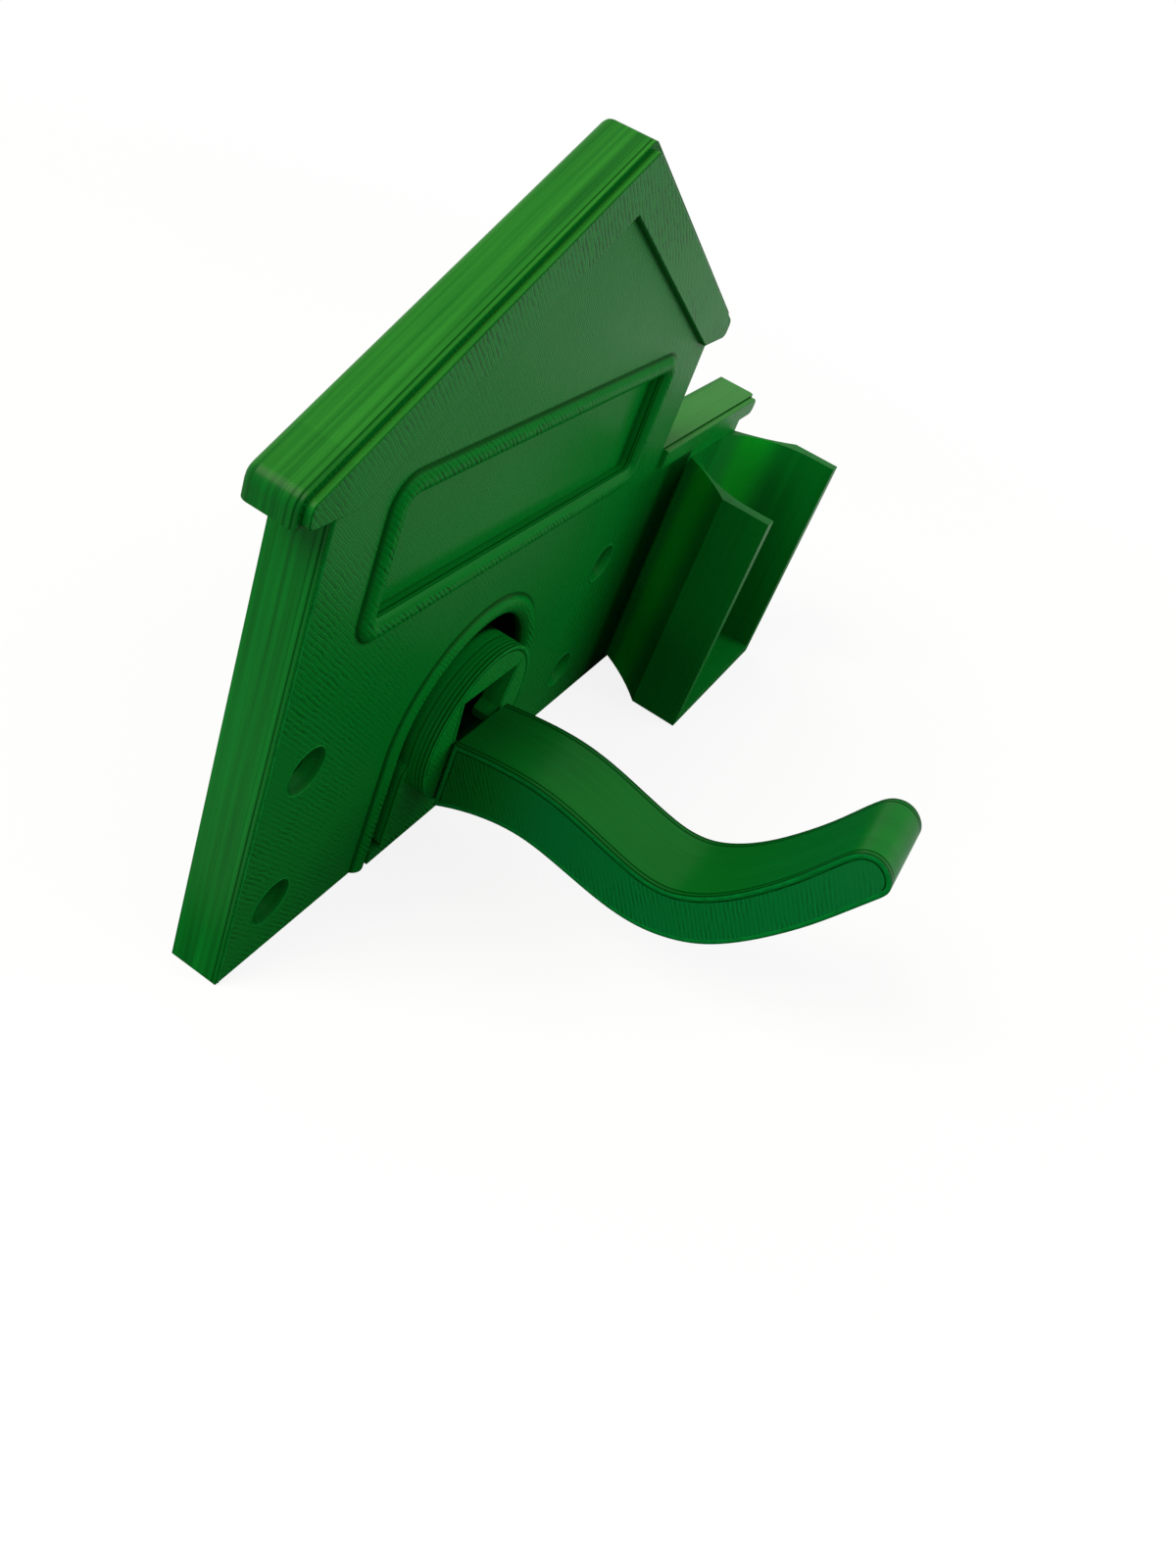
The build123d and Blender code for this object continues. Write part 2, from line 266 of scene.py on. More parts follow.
class PrintSettings(bpy.types.PropertyGroup):
    """Sizes and colours of the print."""

    pale_green: FloatVectorProperty(
        name="Pale green", description="Filament on the crowns of the print lines", subtype="COLOR", size=3,
        min=0.0, max=1.0, default=(0.0016, 0.2, 0.019))
    deep_green: FloatVectorProperty(
        name="Deep green", description="Filament in the valleys between print lines", subtype="COLOR", size=3,
        min=0.0, max=1.0, default=(0.0006, 0.075, 0.0072))
    # Painted bluish sheen on the sides of the hook
    side_sheen_green: FloatVectorProperty(
        name="Cool green", description="Bluer filament of the hook", subtype="COLOR", size=3,
        min=0.0, max=1.0, default=(0.0008, 0.2, 0.042))
    # Painted warm light on faces that look up
    warm_top_light_green: FloatVectorProperty(
        name="Sunned green", description="Warmer filament on faces that look up", subtype="COLOR", size=3,
        min=0.0, max=1.0, default=(0.027, 0.195, 0.017))
    # Dark print lines between layers, and painted shade in creases, at ledges, in the slot beside the trough,
    # in screw holes and in the crease strands
    line_and_crease_shade_green: FloatVectorProperty(
        name="Crease green", description="Filament in the creases beside beads and ledges", subtype="COLOR",
        size=3, min=0.0, max=1.0, default=(0.0003, 0.03, 0.003))
    # Painted shade in deep recesses: the door recess floor, the pocket behind the boss and the hook's neck
    hollow_shade_green: FloatVectorProperty(
        name="Gap green", description="Filament in deep grooves and hollows", subtype="COLOR", size=3,
        min=0.0, max=1.0, default=(0.0002, 0.009, 0.0014))
    # Painted glow of light through the thin wall of the trough
    painted_glow_green: FloatVectorProperty(
        name="Lit green", description="Filament where light comes through the thin wall of the trough",
        subtype="COLOR", size=3, min=0.0, max=1.0, default=(0.003, 0.4, 0.014))
    boss_strand_green: FloatVectorProperty(
        name="Boss strand green", description="Outline strand on the front of the boss", subtype="COLOR",
        size=3, min=0.0, max=1.0, default=(0.0015, 0.19, 0.02))
    hook_strand_green: FloatVectorProperty(
        name="Hook strand green", description="Outline strands on the sides of the hook", subtype="COLOR",
        size=3, min=0.0, max=1.0, default=(0.001, 0.175, 0.026))
    burr_green: FloatVectorProperty(
        name="Burr green", description="Burr round the screw holes and strand along the plate's edge",
        subtype="COLOR", size=3, min=0.0, max=1.0, default=(0.004, 0.21, 0.026))
    burr_blotch_green: FloatVectorProperty(
        name="Burr blotch green", description="Deeper blotches of the burr", subtype="COLOR",
        size=3, min=0.0, max=1.0, default=(0.002, 0.16, 0.02))
    line_width: FloatProperty(
        name="Line width", description="Spacing of the print lines on flat faces", subtype="DISTANCE",
        default=0.00045)
    layer_height: FloatProperty(
        name="Layer height", description="Spacing of the layers on upright walls", subtype="DISTANCE",
        default=0.00028)
    roughness: FloatProperty(
        name="Roughness", description="Mean roughness of the plastic", subtype="FACTOR",
        min=0.0, max=1.0, default=0.3)
    sheen: FloatProperty(
        name="Sheen", description="Weight of the thin glossy skin on open faces", subtype="FACTOR",
        min=0.0, max=1.0, default=0.13)
    strand_width: FloatProperty(
        name="Strand width", description="Width of the outline strand along an edge", subtype="DISTANCE",
        default=0.001)
    strand_proud: FloatProperty(
        name="Strand proud", description="How far the outline strand stands above its face",
        subtype="DISTANCE", default=0.0001)
    # The crease strand is a dark strand of painted shade
    crease_width: FloatProperty(
        name="Crease width", description="Width of the dark crease inside the outline strand",
        subtype="DISTANCE", default=0.0004)


class StageSettings(bpy.types.PropertyGroup):
    """Studio round the object."""

    floor_size: FloatProperty(
        name="Floor size", description="Edge length of the floor", subtype="DISTANCE", default=6.0)
    floor_shade: FloatProperty(
        name="Floor shade", description="Share of the object's shadow that the floor keeps", subtype="FACTOR",
        min=0.0, max=1.0, default=0.14)
    sky_level: FloatProperty(
        name="Sky level", description="Strength of the even light from all round", default=0.44)
    key_power: FloatProperty(
        name="Key power", description="Power of the soft box behind the left eave", subtype="POWER",
        default=8.7)
    fill_power: FloatProperty(
        name="Fill power", description="Power of the panel in front", subtype="POWER", default=3.4)
    side_power: FloatProperty(
        name="Side power", description="Power of the panel on the left", subtype="POWER", default=1.0)


class Field:
    """A value that changes over a surface; arithmetic on it adds Math nodes to its finish."""

    def __init__(self, finish, socket):
        self.finish = finish
        self.socket = socket

    def math(self, operation, *others):
        """Math node on this value and others."""
        values = dict(enumerate((self, *others)))
        return self.finish.add("ShaderNodeMath", {"operation": operation}, values)

    def __add__(self, other):
        return self.math("ADD", other)

    def __sub__(self, other):
        return self.math("SUBTRACT", other)

    def __mul__(self, other):
        return self.math("MULTIPLY", other)

    def __rsub__(self, other):
        return self.finish.add("ShaderNodeMath", {"operation": "SUBTRACT"}, {0: other, 1: self})

    __radd__ = __add__

    def __abs__(self):
        return self.math("ABSOLUTE")

    def step(self, low, high, start=0.0, end=1.0):
        """Smooth step from one level to another as this value passes from low to high."""
        return self.finish.add(
            "ShaderNodeMapRange", {"interpolation_type": "SMOOTHSTEP"},
            {"Value": self, "From Min": low, "From Max": high, "To Min": start, "To Max": end})

    def axes(self):
        """The three components of a vector."""
        return [self.finish.add("ShaderNodeSeparateXYZ", {}, {0: self}, axis) for axis in range(3)]


class Finish:
    """Node tree of one material or of the surroundings."""

    def __init__(self, tree):
        self.tree = tree
        self.tree.nodes.clear()

    def add(self, kind, settings=None, sockets=None, output=0):
        """Add a node, set it up, feed its sockets and give back one of its outputs."""
        node = self.tree.nodes.new(kind)
        for key, value in (settings or {}).items():
            setattr(node, key, value)
        for key, value in (sockets or {}).items():
            if isinstance(value, Field):
                self.tree.links.new(value.socket, node.inputs[key])
            else:
                node.inputs[key].default_value = value
        return None if output is None else Field(self, node.outputs[output])

    def mix(self, share, first, second):
        """Blend two colours."""
        return self.add("ShaderNodeMix", {"data_type": "RGBA"}, {0: share, 6: first, 7: second}, 2)

    def seen(self, mirrored=1.0):
        """One where the camera or a clear body looks, and mirrored where a reflection does."""
        camera, glossy, clear = [self.add("ShaderNodeLightPath", {}, {}, name + " Ray")
                                 for name in ("Is Camera", "Is Glossy", "Is Transmission")]
        return largest([camera, glossy * mirrored, clear])

    def noise(self, place, scale, detail=2.0):
        """Soft noise over a place."""
        return self.add("ShaderNodeTexNoise", {}, {"Vector": place, "Scale": scale, "Detail": detail})


def new_material(name):
    """Empty material and the finish that fills it."""
    material = bpy.data.materials.new(name)
    material.use_nodes = True
    return material, Finish(material.node_tree)


def opaque(colour):
    """Colour with full alpha."""
    return (*colour, 1.0)


def largest(values):
    """Largest of several values at each point."""
    result = values[0]
    for value in values[1:]:
        result = result.math("MAXIMUM", value)
    return result


def dark_line(value, level, half_width, strength):
    """Soft line where a value passes a level."""
    return abs(value - level).step(0.0, half_width, strength, 0.0)


def front_reach(point, core):
    """Distance, seen from the front, from an upright rectangle on the middle line."""
    middle, half_width, half_height = core
    aside = (abs(point[0]) - half_width).math("MAXIMUM", 0.0)
    above = (abs(point[2] - middle) - half_height).math("MAXIMUM", 0.0)
    return (aside * aside + above * above).math("SQRT")


def around(level, soft=0.1):
    """Range of a soft edge at a level."""
    return level - soft, level + soft


def along_beads(door, panel, inward, half_width, strength):
    """Soft band along the beads of the door and the panel, so far inside their outer edges."""
    return largest([dark_line(door, DOOR_EDGE - inward, half_width, strength),
                    dark_line(panel, PANEL_EDGE - inward, half_width, strength)])


def kennel_creases(point, depth, door, panel, lean_to):
    """Painted shade on the ledges, at the feet of beads and fascia, and in the slot beside the trough."""
    roofed = 1.0 - lean_to
    slope = point[2] + abs(point[0]) * ROOF_SLOPE
    eave_end = abs(point[0]).step(*around(FASCIA_HALF)) * point[2].step(*EAVE)
    roof_ledge = largest([slope.step(*around(FASCIA_RIDGE)), eave_end]) * roofed
    bar_ledge = point[2].step(*around(LIP_TOP)) * lean_to
    level = dark_line(depth, PLATE_FRONT, LEDGE_HALF, 1.0)
    ledge = largest([roof_ledge * DARK["roof_ledge"], bar_ledge * DARK["bar_ledge"]]) * level

    shadow = (point[0].step(SHADOW_LEFT, TROUGH_LEFT, 0.0, DARK["wide_shadow"])
              + point[0].step(TROUGH_LEFT - SHADOW_NEAR, TROUGH_LEFT, 0.0, DARK["near_shadow"]))
    slot = shadow * point[0].step(*TROUGH_ROOT) * point[2].step(*SLOT_TOP) * level

    fascia_foot = dark_line(slope, FASCIA_FOOT, FASCIA_FOOT_HALF, DARK["fascia_foot"]) * roofed
    bead_foot = along_beads(door, panel, 0.0, BEAD_FOOT_HALF, DARK["bead_foot"])
    return largest([ledge, slot, largest([bead_foot, fascia_foot]) * depth.step(*ON_FRONT)])


def kennel_shade(point):
    """Painted shade in the recess, creases and holes, painted light, glow and shade on faces of the kennel
    plate, and where its rows, lines and streaks show.
    """
    depth = point[1] * -1.0
    door = front_reach(point, DOOR_CORE)
    panel = front_reach(point, PANEL_CORE)
    inside = depth.step(*OFF_BACK)
    front = depth.step(*ON_FRONT)
    lean_to = point[0].step(*LEAN_TO_LEFT) * point[2].step(*LEAN_TO_TOP)
    bar_start, bar_end = around(BAR_FOOT, 0.5)
    bar = lean_to * point[2].step(bar_start, bar_end) * inside
    trough = point[0].step(*TROUGH_SIDE) * point[2].step(bar_end, bar_start) * front
    panel_field = panel.step(*PANEL_FIELD) * inside
    aside = abs(point[0]) - SCREW_HALF[0]
    above = abs(point[2]) - SCREW_HALF[1]
    hole = (aside * aside + above * above).math("SQRT").step(*SCREW_RIM) * inside
    off_beads = panel.step(*OFF_PANEL) * door.step(*OFF_DOOR)

    # Painted shade inside the screw holes, darker in the left ones
    hole_shade = hole * point[0].step(*LEFT_TO_RIGHT, DARK["left_hole"], DARK["right_hole"])
    bead = along_beads(door, panel, *BEAD_CROWN) * depth.step(*ON_BEADS)
    rows = (abs(point[0]).step(*ROWS_OUTWARD, ROWS_MIDDLE, ROWS_OUTER)
            * depth.step(*NEAR_FRONT, ROWS_SUNK, 1.0))
    # Painted light on the trough, bar, panel field and upper front; painted shade on the left wall, left eave
    # and the trough's cheeks
    painted_brightness = largest([trough * depth.step(*TROUGH_PALE) * PAINTED_LIGHT["trough"], bar * PAINTED_LIGHT["bar"],
                     panel_field * PAINTED_LIGHT["panel"],
                     front * point[2].step(*FRONT_RISE, PAINTED_LIGHT["low_front"], PAINTED_LIGHT["high_front"])])
    left_cheek = depth.step(*CHEEK_DEPTH) * point[0].step(*LEFT_CHEEK)
    right_cheek = point[0].step(*RIGHT_CHEEK)
    painted_shade = largest([point[0].step(*LEFT_WALL) * PAINTED_SHADE["left_wall"],
                      point[0].step(*LEFT_EAVE) * PAINTED_SHADE["left_eave"],
                      trough * left_cheek * PAINTED_SHADE["left_cheek"],
                      trough * right_cheek * PAINTED_SHADE["right_cheek"]])
    # Painted shade on the door recess floor and in creases, painted light and shade on faces, painted warm
    # light on tops, painted glow in the trough
    return {"hollow_shade": depth.step(*IN_RECESS) * door.step(*RECESS_SIDE, 1.0, 0.0) * inside,
            "crease": largest([kennel_creases(point, depth, door, panel, lean_to), hole_shade]),
            "dull": largest([hole, bead, trough * TROUGH_DULL]),
            "lined": (1.0 - hole) * (1.0 - lean_to),
            "stitch": along_beads(door, panel, *STITCH) * front,
            "contrast": largest([rows, depth.step(*ON_FASCIA) * ROWS_FASCIA]),
            "painted_brightness": painted_brightness - painted_shade,
            "warm_top_light": (1.0 - hole) * (1.0 - trough) * off_beads * KENNEL_TOP_LIGHT,
            "painted_glow": trough * depth.step(*GLOW_START) * depth.step(*GLOW_END) * TROUGH_GLOW,
            "streaks": KENNEL_STREAKS - largest([trough, bar]) * SMOOTH_STREAKS}


def socket_shade(point):
    """Painted shade on the floor and pocket behind the boss, and lines on the outside of the boss alone."""
    above = point[2] - BOSS_HEIGHT
    reach = (point[0] * point[0] + above * above).math("SQRT")
    return {"hollow_shade": (point[1] * -1.0).step(*POCKET_DEPTH),
            "lined": reach.step(*BOSS_OUTSIDE),
            "streaks": SOCKET_STREAKS}


def hook_shade(point):
    """Painted shade on the neck and head inside the keyhole and on the root, painted warm light on top, and
    bluish painted sheen on the sides towards the tip.
    """
    depth = point[1] * -1.0
    return {"hollow_shade": depth.step(*NECK_DEPTH),
            "painted_brightness": depth.step(*ROOT_DEPTH) * -ROOT_SHADE,
            "side_sheen": depth.step(*SIDE_SHEEN_DEPTH),
            "warm_top_light": HOOK_TOP_LIGHT,
            "streaks": HOOK_STREAKS}


def crown(count):
    """Height over lines that are counted by a value: one along each crown, nought in each valley."""
    return 1.0 - (abs(count.math("FRACT") - 0.5) * 2.0).math("POWER", VALLEY_POWER)


def printed_plastic(name, layer_axis, slant, contrast, deepness, lines, shade):
    """Layers round the walls, crossing rows on the flat faces and dark lines of a print, with the painted
    light, glow, sheen and shade that its shading gives.
    """
    settings = bpy.context.scene.lead_print
    material, finish = new_material(name)
    place = finish.add("ShaderNodeTexCoord", {}, {}, "Object")
    facing = finish.add("ShaderNodeTexCoord", {}, {}, "Normal")
    point = [value * MM_PER_M for value in place.axes()]
    flat = abs(facing.axes()[layer_axis]).step(*FLAT_FACING)
    wall = 1.0 - flat
    patch = finish.noise(place, PATCH_SCALE, FINE)

    first, second = [point[axis] for axis in range(3) if axis != layer_axis]
    scale = MM / settings.line_width / math.hypot(1.0, slant)
    row = (first + second * slant) * scale + (finish.noise(place, WANDER_SCALE) - 0.5) * ROW_WANDER
    lengthwise = (second - first * slant) * scale
    strokes = finish.add("ShaderNodeCombineXYZ", {}, {0: row * STROKE_ACROSS, 1: lengthwise * STROKE_ALONG})
    stroke = finish.noise(strokes, 1.0, 1.0)
    there_and_back = ((row * math.pi).math("SINE") * stroke.step(*STROKE_CONTRAST)
                      + (stroke - 0.5) * STROKE_TONE)

    stretch = [STREAK_ALONG] * 3
    stretch[layer_axis] = STREAK_ACROSS
    drawn = finish.add("ShaderNodeVectorMath", {"operation": "MULTIPLY"}, {0: place, 1: tuple(stretch)})
    streak = finish.noise(drawn, 1.0, FINE) - 0.5
    layer = point[layer_axis] * (MM / settings.layer_height)

    shades = shade(point)
    cut = largest([dark_line(point[layer_axis], *line) for line in lines]) * wall * shades.get("lined", 1.0)
    layered = crown(layer) * LAYER_RELIEF + streak * STREAK_RELIEF - cut * LINE_RELIEF
    relief = layered * wall + crown(row) * flat
    bumped = finish.add("ShaderNodeBump", {}, {
        "Strength": RELIEF_STRENGTH, "Distance": RELIEF_HEIGHT, "Height": relief})

    strength = patch.step(*PATCH_CONTRAST) * contrast * shades.get("contrast", 1.0)
    rows = there_and_back * largest([flat, shades.get("stitch", flat)]) * strength
    drag = streak * wall * shades["streaks"]
    # Painted light lifts the tone towards pale green, painted shade pushes it towards deep green
    tone = rows + drag + (patch - 0.5) * PATCH_TONE + deepness - shades.get("painted_brightness", 0.0)
    upward = facing.axes()[2].step(*UP_FACING)
    sideways = 1.0 - upward
    crease = shades.get("crease", cut)
    # In turn: painted sheen on sides, painted warm light on tops, tone, painted glow, dark lines with painted
    # crease shade, painted shade in recesses
    colour = opaque(settings.pale_green)
    for share, green in ((sideways * shades.get("side_sheen", 0.0), settings.side_sheen_green),
                         (upward * shades.get("warm_top_light", 0.0), settings.warm_top_light_green),
                         (tone, settings.deep_green),
                         (sideways * shades.get("painted_glow", 0.0), settings.painted_glow_green),
                         (largest([cut, crease]), settings.line_and_crease_shade_green),
                         (shades["hollow_shade"], settings.hollow_shade_green)):
        colour = finish.mix(share, colour, opaque(green))
    rough = settings.roughness + (patch - 0.5) * ROUGHNESS_SPREAD + streak * wall * ROUGHNESS_SPREAD
    covered = largest([cut, shades["hollow_shade"], crease, shades.get("dull", cut)])
    sheen = covered.step(*COAT_STOPS, settings.sheen, 0.0)
    shader = finish.add("ShaderNodeBsdfPrincipled", {}, {
        "Base Color": colour, "Roughness": rough, "Normal": bumped,
        "IOR": REFRACTION, "Specular IOR Level": SPECULAR, "Specular Tint": SPECULAR_TINT,
        "Coat Weight": sheen, "Coat Roughness": COAT_ROUGHNESS, "Coat IOR": REFRACTION})
    finish.add("ShaderNodeOutputMaterial", {}, {"Surface": shader}, None)
    return material


def plain_plastic(name, first, second, gloss):
    """Plastic of a strand, crease or burr, blotched between two greens."""
    material, finish = new_material(name)
    place = finish.add("ShaderNodeTexCoord", {}, {}, "Object")
    patch = finish.noise(place, BLOTCH_SCALE, FINE).step(*BLOTCHES)
    colour = finish.mix(patch, opaque(first), opaque(second))
    shader = finish.add("ShaderNodeBsdfPrincipled", {}, {
        "Base Color": colour, "Roughness": STRAND_ROUGHNESS + patch * STRAND_SPREAD, "IOR": REFRACTION,
        "Specular IOR Level": gloss, "Specular Tint": SPECULAR_TINT})
    finish.add("ShaderNodeOutputMaterial", {}, {"Surface": shader}, None)
    return material


def dress(node, material):
    """Give a solid part its finish."""
    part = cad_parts[node]
    part.data.materials.clear()
    part.data.materials.append(material)


def face_outlines(node, axis, level):
    """Closed outlines of a part's flat faces at one level along an axis, each with its face on the left."""
    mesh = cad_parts[node].data
    edges = set()
    for polygon in mesh.polygons:
        corners = [mesh.vertices[index].co for index in polygon.vertices]
        if max(abs(corner[axis] - level) for corner in corners) > FLAT_TOLERANCE:
            continue
        keys = [tuple(round(value / MICRON) for value in corner) for corner in corners]
        for edge in zip(keys, keys[1:] + keys[:1]):
            if edge[::-1] in edges:
                edges.remove(edge[::-1])
            else:
                edges.add(edge)
    following = dict(sorted(edges))
    loops = []
    while following:
        start = min(following)
        loop = [start]
        while following.get(loop[-1]) is not None:
            loop.append(following.pop(loop[-1]))
        loops.append([Vector(key) * MICRON for key in loop[:-1]])
    return loops


def length(loop):
    """Length of a closed outline."""
    return sum((after - here).length for here, after in zip(loop, loop[1:] + loop[:1]))


def inset(loop, outward, distance):
    """Move a closed outline into its own face."""
    moved = []
    for before, here, after in zip(loop[-1:] + loop[:-1], loop, loop[1:] + loop[:1]):
        first = outward.cross(here - before).normalized()
        second = outward.cross(after - here).normalized()
        moved.append(here + (first + second) * (distance / max(1.0 + first.dot(second), SHARPEST)))
    return moved


def strand_tree():
    """Node tree that lays a flattened round strand along each outline."""
    made = bpy.data.node_groups.get("outline_strands")
    if made:
        return made
    tree = bpy.data.node_groups.new("outline_strands", "GeometryNodeTree")
    tree.interface.new_socket("Geometry", in_out="INPUT", socket_type="NodeSocketGeometry")
    tree.interface.new_socket("Width", in_out="INPUT", socket_type="NodeSocketFloat")
    tree.interface.new_socket("Height", in_out="INPUT", socket_type="NodeSocketFloat")
    tree.interface.new_socket("Material", in_out="INPUT", socket_type="NodeSocketMaterial")
    tree.interface.new_socket("Geometry", in_out="OUTPUT", socket_type="NodeSocketGeometry")
    kinds = ("NodeGroupInput", "GeometryNodeMeshToCurve", "GeometryNodeCurveToMesh",
             "GeometryNodeSetMaterial", "NodeGroupOutput")
    chain = [tree.nodes.new(kind) for kind in kinds]
    entry, sweep, paint = chain[0], chain[2], chain[3]
    for first, second in zip(chain, chain[1:]):
        tree.links.new(first.outputs[0], second.inputs[0])
    sweep.inputs["Fill Caps"].default_value = True
    circle = tree.nodes.new("GeometryNodeCurvePrimitiveCircle")
    circle.inputs["Resolution"].default_value = SECTION_SIDES
    circle.inputs["Radius"].default_value = 0.5
    size = tree.nodes.new("ShaderNodeCombineXYZ")
    size.inputs["Z"].default_value = 1.0
    section = tree.nodes.new("GeometryNodeTransform")
    tree.links.new(entry.outputs["Height"], size.inputs["X"])
    tree.links.new(entry.outputs["Width"], size.inputs["Y"])
    tree.links.new(circle.outputs["Curve"], section.inputs["Geometry"])
    tree.links.new(size.outputs["Vector"], section.inputs["Scale"])
    tree.links.new(section.outputs["Geometry"], sweep.inputs["Profile Curve"])
    tree.links.new(entry.outputs["Material"], paint.inputs["Material"])
    return tree


def add_mesh(name, vertices, edges=(), faces=()):
    """Mesh object at the origin."""
    mesh = bpy.data.meshes.new(name)
    mesh.from_pydata(vertices, edges, faces)
    mesh.update()
    thing = bpy.data.objects.new(name, mesh)
    bpy.context.scene.collection.objects.link(thing)
    return thing


def add_strands(name, loops, across, material, keep=None):
    """Strands along outlines, or along the edges of them that are kept, as one plain mesh."""
    distance, width, proud = across
    vertices, edges = [], []
    for loop, outward in loops:
        points = inset(loop, outward, distance)
        for here, after in zip(range(len(points)), [*range(1, len(points)), 0]):
            inward = outward.cross(points[after] - points[here]).normalized()
            if keep is None or keep(points[here], inward):
                edges.append((len(vertices) + here, len(vertices) + after))
        vertices += [point - outward * proud * SECTION_SUNK for point in points]
    piece = add_mesh(name, vertices, edges=edges)
    tree = strand_tree()
    modifier = piece.modifiers.new("strands", "NODES")
    modifier.node_group = tree
    values = {"Width": width, "Height": proud * SECTION_HEIGHT, "Material": material}
    for item in tree.interface.items_tree:
        if item.in_out == "INPUT" and item.name in values:
            modifier[item.identifier] = values[item.name]
    graph = bpy.context.evaluated_depsgraph_get()
    plain = bpy.data.meshes.new_from_object(piece.evaluated_get(graph))
    piece.modifiers.remove(modifier)
    piece.data = plain
    plain.shade_smooth()
    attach(piece, "root")


def outlines(node, axis, levels):
    """Outlines of a part's flat faces, each with the direction that its face looks in."""
    result = []
    for level in levels:
        outward = Vector([float(i == axis) for i in range(3)]) * math.copysign(1.0, level)
        result += [(loop, outward) for loop in face_outlines(node, axis, level * MM)]
    return result


def edge_strands(name, loops, colour):
    """Outline strand along the edge of a face, with a dark strand of painted shade in the crease inside it
    where that lies in shade.
    """
    settings = bpy.context.scene.lead_print
    blotch = [value * STRAND_BLOTCH for value in colour]
    strand = plain_plastic(name + "_strand", colour, blotch, SPECULAR)
    # Dark strand of painted shade in the crease
    crease = plain_plastic(name + "_crease", settings.line_and_crease_shade_green, settings.deep_green, 0.0)
    half = settings.strand_width / 2
    add_strands(name + "_strands", loops, (half, settings.strand_width, settings.strand_proud), strand)
    inside = settings.strand_width + settings.crease_width * CREASE_GAP
    add_strands(name + "_creases", loops, (inside, settings.crease_width, CREASE_HEIGHT), crease,
                lambda point, inward: inward.z < CREASE_FACING)


class LEAD_OT_kennel(bpy.types.Operator):
    """Kennel plate, printed lying on its back"""

    bl_idname = "lead.kennel"
    bl_label = "Kennel plate"

    def execute(self, context):
        settings = context.scene.lead_print
        dress("kennel_plate", printed_plastic(
            "kennel_print", layer_axis=1, slant=1.0, contrast=0.2, deepness=0.38, lines=KENNEL_LINES,
            shade=kennel_shade))
        front = outlines("kennel_plate", 1, PLATE_FACES)
        rims = [rim for rim in front if length(rim[0]) < SCREW_OUTLINE * MM]
        burr = plain_plastic("screw_rim", settings.burr_green, settings.burr_blotch_green, BURR_GLOSS)
        add_strands("screw_rims", rims, BURR, burr)
        add_strands("side_strands", front, SIDE_STRAND, burr, self.on_left_side)
        return {"FINISHED"}

    def on_left_side(self, point, inward):
        """Whether a piece of outline runs up the left side of the plate."""
        return abs(inward.x) > SIDEWAYS and abs(point.x + PLATE_SIDE * MM) < MM


class LEAD_OT_socket(bpy.types.Operator):
    """Hook socket, printed lying on its back"""

    bl_idname = "lead.socket"
    bl_label = "Hook socket"

    def execute(self, context):
        dress("hook_socket", printed_plastic(
            "socket_print", layer_axis=1, slant=1.0, contrast=0.2, deepness=0.08, lines=SOCKET_LINES,
            shade=socket_shade))
        loops = outlines("hook_socket", 1, SOCKET_FACES)
        edge_strands("socket", loops, context.scene.lead_print.boss_strand_green)
        return {"FINISHED"}


class LEAD_OT_hook(bpy.types.Operator):
    """Hook, printed lying on its side"""

    bl_idname = "lead.hook"
    bl_label = "Hook"

    def execute(self, context):
        dress("hook", printed_plastic(
            "hook_print", layer_axis=0, slant=-0.62, contrast=0.17, deepness=0.46, lines=HOOK_LINES,
            shade=hook_shade))
        loops = outlines("hook", 0, HOOK_FACES)
        edge_strands("hook", loops, context.scene.lead_print.hook_strand_green)
        return {"FINISHED"}


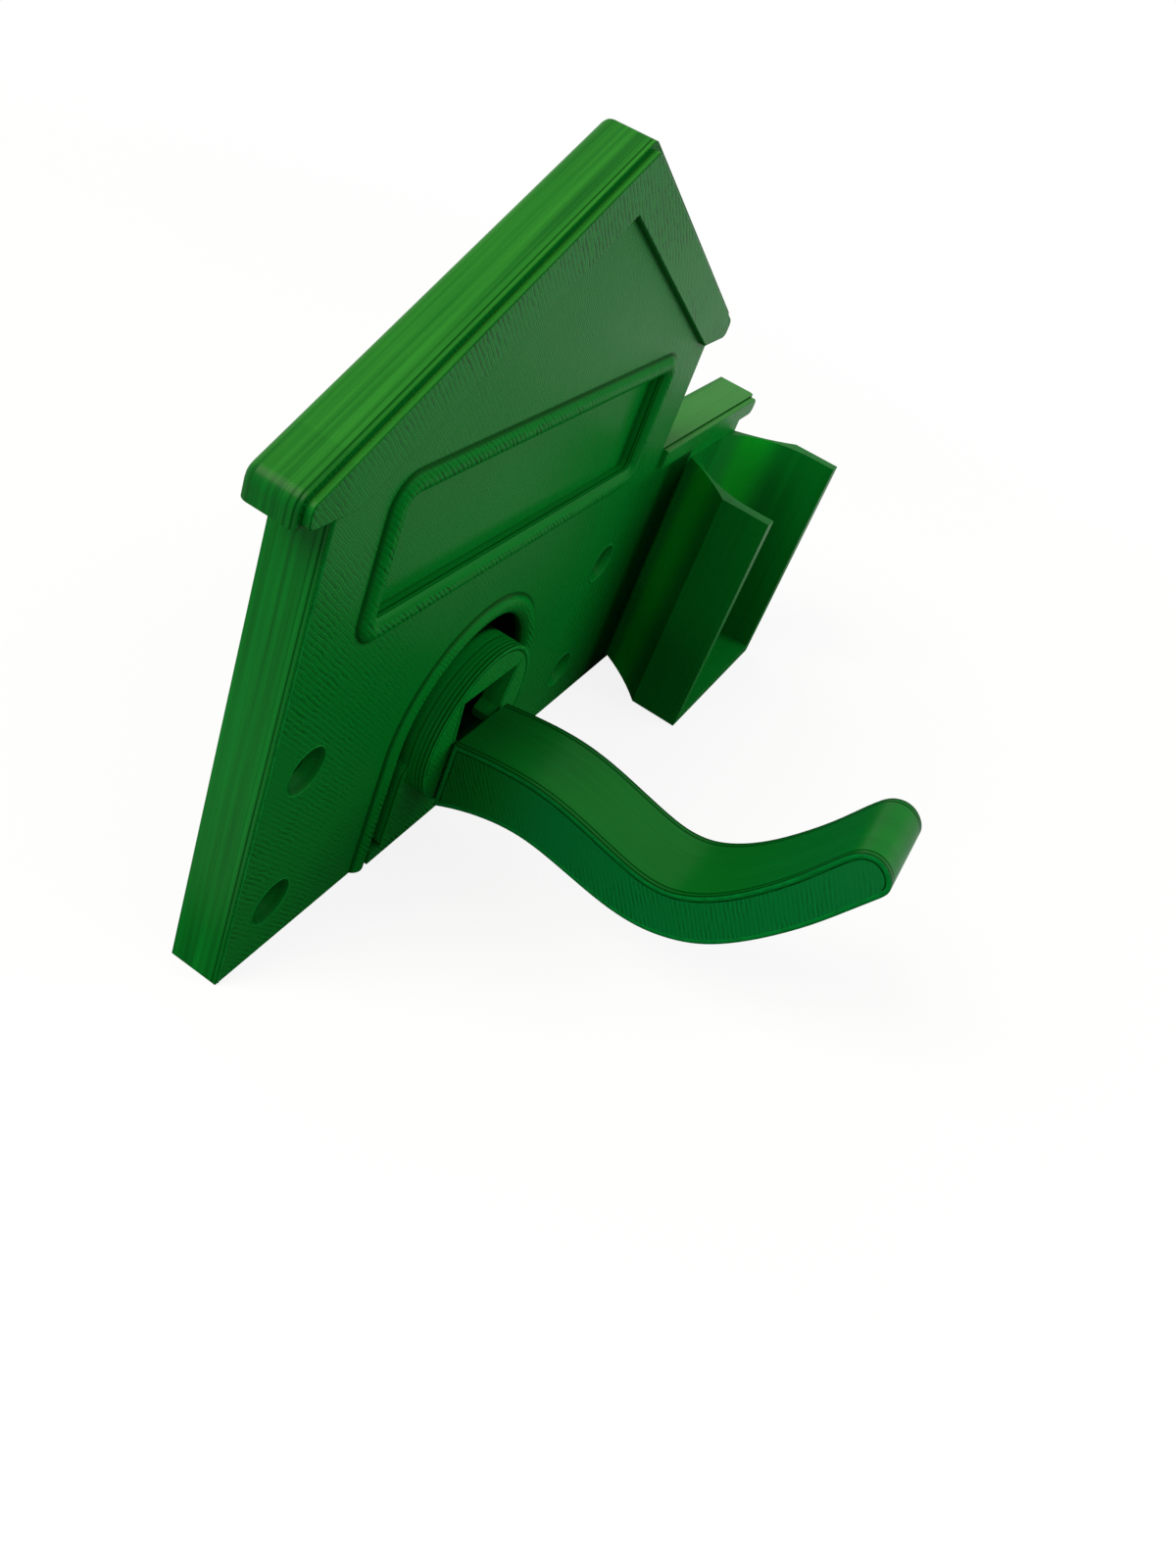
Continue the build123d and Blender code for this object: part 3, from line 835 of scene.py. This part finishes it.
class LEAD_OT_stage(bpy.types.Operator):
    """White floor, soft light and the camera at the photograph's viewing angle"""

    bl_idname = "lead.stage"
    bl_label = "Stage"

    def execute(self, context):
        self.add_floor(context.scene.lead_stage)
        self.add_lights(context.scene.lead_stage)
        self.add_sky(context.scene)
        self.add_camera(context.scene)
        return {"FINISHED"}

    def add_floor(self, settings):
        """Pale floor that keeps a soft share of the object's shadow and looks dark near it in reflections."""
        half = settings.floor_size / 2
        z = CAD_BOX[0][2] - FLOOR_GAP
        corners = [(-half, -half, z), (half, -half, z), (half, half, z), (-half, half, z)]
        floor = add_mesh("floor", corners, faces=[(0, 1, 2, 3)])
        material, finish = new_material("floor_white")
        place = finish.add("ShaderNodeTexCoord", {}, {}, "Object").axes()
        away = (place[0] * place[0] + place[1] * place[1]).math("SQRT")
        ahead = place[1].step(*MIRROR_AHEAD) * place[0].step(*MIRROR_AHEAD_RIGHT) * MIRROR_AHEAD_SHARE
        seen = finish.seen(largest([away.step(*MIRROR_AWAY), place[0].step(*MIRROR_LEFT), ahead]))
        tone = finish.mix(seen, FLOOR_DARK, FLOOR_PALE)
        diffuse = finish.add("ShaderNodeBsdfDiffuse", {}, {"Color": tone})
        glow = finish.add("ShaderNodeEmission", {}, {"Color": WHITE, "Strength": 1.0})
        share = seen * (1.0 - away.step(*SHADOW_AWAY, settings.floor_shade, 0.0))
        shader = finish.add("ShaderNodeMixShader", {}, {0: share, 1: diffuse, 2: glow})
        finish.add("ShaderNodeOutputMaterial", {}, {"Surface": shader}, None)
        floor.data.materials.append(material)

    def add_lights(self, settings):
        """Soft box up behind the left eave, a broad panel in front and a weak one on the left."""
        for name, (spot, size, colour, power) in LIGHTS.items():
            lamp = bpy.data.lights.new(name, "AREA")
            lamp.color = colour
            lamp.shape = "DISK"
            lamp.size = size
            lamp.energy = getattr(settings, power)
            box = bpy.data.objects.new(name, lamp)
            box.location = spot
            box.rotation_euler = (-box.location).to_track_quat("-Z", "Y").to_euler()
            bpy.context.scene.collection.objects.link(box)

    def add_sky(self, scene):
        """Even pale surroundings, white to the camera and in reflections."""
        world = bpy.data.worlds.new("studio")
        world.use_nodes = True
        sky = Finish(world.node_tree)
        level = scene.lead_stage.sky_level
        strength = sky.seen() * (1.0 - level) + level
        light = sky.add("ShaderNodeBackground", {}, {"Color": WHITE, "Strength": strength})
        sky.add("ShaderNodeOutputWorld", {}, {"Surface": light}, None)
        scene.world = world

    def add_camera(self, scene):
        """Camera above the left eave, with its axis above the middle of the frame."""
        lens = bpy.data.cameras.new("camera")
        lens.sensor_width = SENSOR_WIDTH
        lens.lens = FOCAL_LENGTH * SENSOR_WIDTH / PHOTO_SIZE[1]
        lens.shift_y = (AXIS_ROW - PHOTO_SIZE[1] / 2) / PHOTO_SIZE[1]
        lens.clip_start = NEAR_CLIP
        camera = bpy.data.objects.new("camera", lens)
        camera.matrix_world = Matrix.Translation(CAMERA_PLACE) @ Matrix(CAMERA_TURN).to_4x4()
        scene.collection.objects.link(camera)
        scene.camera = camera
        scene.view_settings.view_transform = "Standard"


class LEAD_PT_panel(bpy.types.Panel):
    """Sidebar list of the pieces"""

    bl_idname = "LEAD_PT_panel"
    bl_label = "Lead holder"
    bl_space_type = "VIEW_3D"
    bl_region_type = "UI"
    bl_category = "Lead holder"

    def draw(self, context):
        layout = self.layout
        for operator in PIECES:
            layout.operator(operator.bl_idname)
        for group in (context.scene.lead_print, context.scene.lead_stage):
            for name in group.bl_rna.properties.keys():
                if name not in {"rna_type", "name"}:
                    layout.prop(group, name)


PIECES = (LEAD_OT_kennel, LEAD_OT_socket, LEAD_OT_hook, LEAD_OT_stage)
CLASSES = (PrintSettings, StageSettings, *PIECES, LEAD_PT_panel)


def register():
    for cls in CLASSES:
        bpy.utils.register_class(cls)
    bpy.types.Scene.lead_print = PointerProperty(type=PrintSettings)
    bpy.types.Scene.lead_stage = PointerProperty(type=StageSettings)


def unregister():
    del bpy.types.Scene.lead_stage
    del bpy.types.Scene.lead_print
    for cls in reversed(CLASSES):
        bpy.utils.unregister_class(cls)


def main():
    """Dress the parts and set the stage."""
    register()
    bpy.ops.lead.kennel()
    bpy.ops.lead.socket()
    bpy.ops.lead.hook()
    bpy.ops.lead.stage()


if __name__ == "__main__":
    main()
